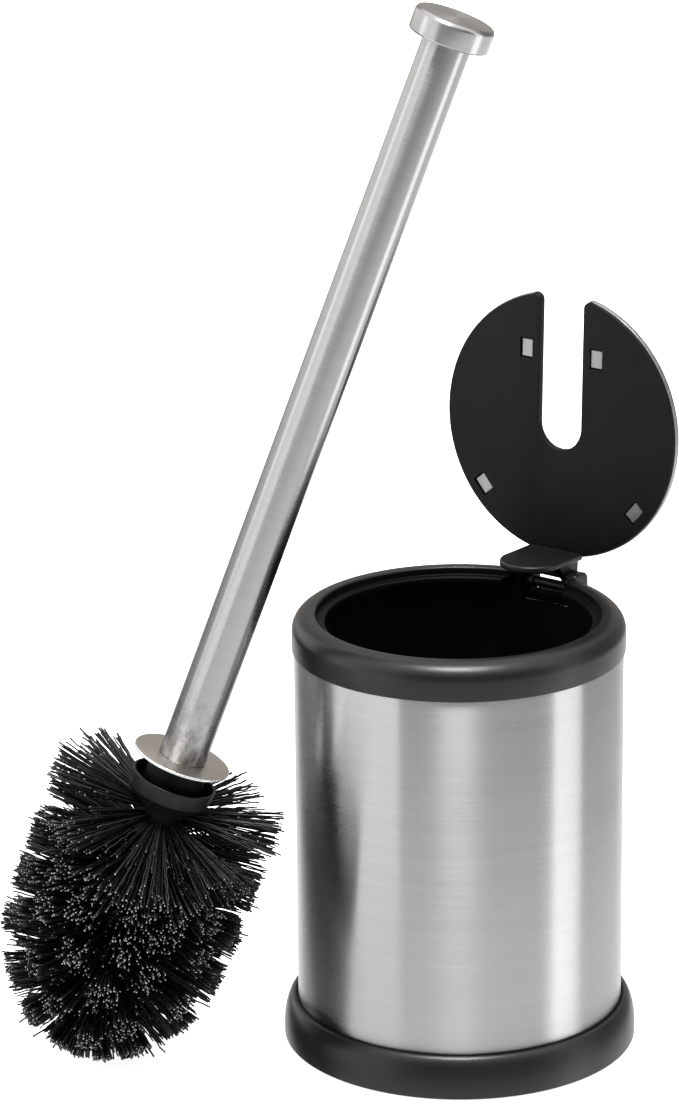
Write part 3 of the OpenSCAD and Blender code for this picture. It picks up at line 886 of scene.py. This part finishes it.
def bristles():
    for row in range(ROWS):
        height = -ROW_FIRST - row * ROW_PITCH + (ROW_LIFT[row] if row < LEVEL_ROW else 0)
        stagger = (row % 2) * math.pi / TUFTS
        spread = SPREAD if row < ROWS - 1 else END_SPREAD
        # The first two rows are wider fans with more strays
        wide, stray = (1.8, 0.08) if row < 2 else (1.0, 0.02)
        tufts = []
        rand = random.Random(row)
        for k in range(TUFTS):
            turn = stagger + 2 * math.pi * k / TUFTS + rand.uniform(-0.06, 0.06)
            tilt = row_tilt(row) - pressed(row, turn)
            tufts.append((height, tilt, turn, spread, wide, stray))
        bristle_piece(f"bristles_{row + 1}", f"bristle_row_{row + 1}", tufts, 100 + row)
    height = -CORE_END + CORE_R - 1
    ring = TUFTS // 2
    tufts = []
    for k in range(ring):
        tufts.append((height, RING_TILT, 2 * math.pi * k / ring, RING_SPREAD, 1.3, 0.02))
    tufts.append((height, MIDDLE_TILT, 0, END_SPREAD, 1.0, 0.02))
    bristle_piece("bristles_end", "bristle_tip", tufts, 200)


# ---- CAD pieces that stay as they are ----

def carried_over():
    """Gives each of them its material."""
    kept = {
        "nonslip_pad": PAD_FOAM, "liner_bucket": LINER_PLASTIC, "hinge_pin": PIN_STEEL,
        "cap_plug": INNER_PLASTIC, "threaded_insert": PIN_STEEL, "head_stud": PIN_STEEL
    }
    for node, material in kept.items():
        data = frame["nodes"][node].data
        data.materials.clear()
        data.materials.append(material)


# ---- Studio ----

# Radiance of the room by direction: high and low in front, behind and at the left, and overhead
ROOM_HIGH, ROOM_LOW = 0.28, 1.2
BACK_HIGH, BACK_LOW = (0.50, 0.47, 0.44, 1), 1.5
LEFT_HIGH, LEFT_LOW = 1.35, 0.04
CEILING = 1.5
RIM_HEIGHT = 0.15

# The camera stands where the photo's perspective puts it, with a slight roll
CAMERA_AT = Vector((0.8185, -1.1770, 0.6344))
CAMERA_LOOKS_AT = Vector((-0.0711, 0.0301, 0.1500))
CAMERA_ROLL = math.radians(-0.61)
CAMERA_LENS = 148.3


def camera():
    data = bpy.data.cameras.new("camera")
    data.lens = CAMERA_LENS
    data.sensor_width = 36
    data.clip_start, data.clip_end = 0.05, 50
    obj = new_object("camera", data)
    look = (CAMERA_LOOKS_AT - CAMERA_AT).to_track_quat("-Z", "Y").to_matrix().to_4x4()
    obj.matrix_world = Matrix.Translation(CAMERA_AT) @ look @ Matrix.Rotation(CAMERA_ROLL, 4, "Z")
    bpy.context.scene.camera = obj


TOWARDS_CAMERA = Vector((CAMERA_AT.x, CAMERA_AT.y, 0)).normalized()
CAMERA_RIGHT = Vector((-TOWARDS_CAMERA.y, TOWARDS_CAMERA.x, 0))


def around(angle):
    """Level direction at an angle from the camera's direction, positive to the camera's right."""
    a = math.radians(angle)
    return TOWARDS_CAMERA * math.cos(a) + CAMERA_RIGHT * math.sin(a)


def soft_box(name, way, distance, height, wide, tall, radiance):
    """A box of even light beside or above the holder's axis, facing the axis at a height."""
    data = bpy.data.lights.new(name, "AREA")
    data.shape = "RECTANGLE"
    data.size, data.size_y = wide, tall
    data.energy = radiance * math.pi * wide * tall
    obj = new_object(name, data)
    obj.location = way * distance + Vector((0, 0, height))
    obj.rotation_mode = "QUATERNION"
    obj.rotation_quaternion = (-way).to_track_quat("-Z", "Y")
    obj.visible_camera = False
    return obj


def panel(name, angle, distance, width, low, high, radiance):
    """An upright soft panel that faces the holder, with its lower and upper edge's heights."""
    soft_box(name, around(angle), distance, (low + high) / 2, width, high - low, radiance)


def overhead(name, angle, elevation, distance, size, radiance):
    """A square soft box above the rim, seen only in reflections."""
    e = math.radians(elevation)
    way = around(angle) * math.cos(e) + Vector((0, 0, math.sin(e)))
    obj = soft_box(name, way, distance, RIM_HEIGHT, size, size, radiance)
    obj.visible_diffuse = False


def sky_light(strength, softness):
    """Even light straight from above, with very soft shadows."""
    data = bpy.data.lights.new("sky_light", "SUN")
    data.energy = strength
    data.angle = math.radians(softness)
    obj = new_object("sky_light", data)
    obj.visible_glossy = False


def studio_floor():
    """A pale table top that ends in front of the set and runs on behind it."""
    front, back, side = 0.55, 9.0, 8.0
    corners = [
        TOWARDS_CAMERA * front - CAMERA_RIGHT * side, TOWARDS_CAMERA * front + CAMERA_RIGHT * side,
        -TOWARDS_CAMERA * back + CAMERA_RIGHT * side, -TOWARDS_CAMERA * back - CAMERA_RIGHT * side
    ]
    data = bpy.data.meshes.new("studio_floor")
    data.from_pydata([tuple(c) for c in corners], [], [(0, 1, 2, 3)])
    obj = new_object("studio_floor", data)
    m = Nodes(bpy.data.materials.new("studio_floor"))
    m.set(Base_Color=grey(0.86), Roughness=0.9, Specular_IOR_Level=0.1)
    m.set(Emission_Color=grey(1), Emission_Strength=0.85)
    data.materials.append(m.owner)
    obj.visible_glossy = False
    obj.visible_shadow = False


def studio_world():
    """The room as the pieces see it, by direction; the camera itself sees white."""
    world = bpy.data.worlds.new("studio")
    bpy.context.scene.world = world
    w = Nodes(world)
    w.tree.nodes.clear()
    where = w.add("ShaderNodeTexCoord").outputs["Generated"]

    def along(way, low, high):
        """0 to 1 as the direction turns towards a way."""
        dot = w.add("ShaderNodeVectorMath", operation="DOT_PRODUCT")
        dot.inputs[1].default_value = way
        w.link(where, dot.inputs[0])
        return w.between(dot.outputs["Value"], low, high, 0, 1, "SMOOTHSTEP")

    up, down = Vector((0, 0, 1)), Vector((0, 0, -1))
    below = along(down, 0.14, 0.33)
    front = w.blend(below, grey(ROOM_HIGH), grey(ROOM_LOW))
    back = w.blend(below, BACK_HIGH, grey(BACK_LOW))
    left = w.blend(along(down, -0.04, 0.10), grey(LEFT_HIGH), grey(LEFT_LOW))
    colour = w.blend(along(-TOWARDS_CAMERA, 0.74, 0.92), front, back)
    colour = w.blend(along(around(-115), 0.76, 0.82), colour, left)
    colour = w.blend(along(up, 0.45, 0.80), colour, grey(CEILING))
    room = w.add("ShaderNodeBackground")
    w.link(colour, room.inputs["Color"])
    white = w.add("ShaderNodeBackground", Color=grey(1))
    mix = w.add("ShaderNodeMixShader")
    w.link(w.add("ShaderNodeLightPath").outputs["Is Camera Ray"], mix.inputs["Fac"])
    w.link(room.outputs[0], mix.inputs[1])
    w.link(white.outputs[0], mix.inputs[2])
    w.link(mix.outputs[0], w.add("ShaderNodeOutputWorld").inputs["Surface"])


def studio():
    studio_floor()
    studio_world()
    sky_light(strength=2.0, softness=70)
    overhead("key_box", angle=-2, elevation=72, distance=1.5, size=0.42, radiance=54.0)
    panel("left_panel", angle=-66, distance=0.9, width=0.88, low=-0.15, high=1.1, radiance=1.04)
    panel("right_strip", angle=78, distance=0.95, width=0.40, low=-0.9, high=1.1, radiance=1.25)
    view = bpy.context.scene.view_settings
    view.view_transform = "Standard"
    view.look = "None"


camera()
base_foot()
outer_shell()
rim_collar()
lid_plate()
lid_skin()
lid_lever()
handle()
splash_disc()
head_core()
bristles()
carried_over()
studio()

bpy.context.view_layer.update()
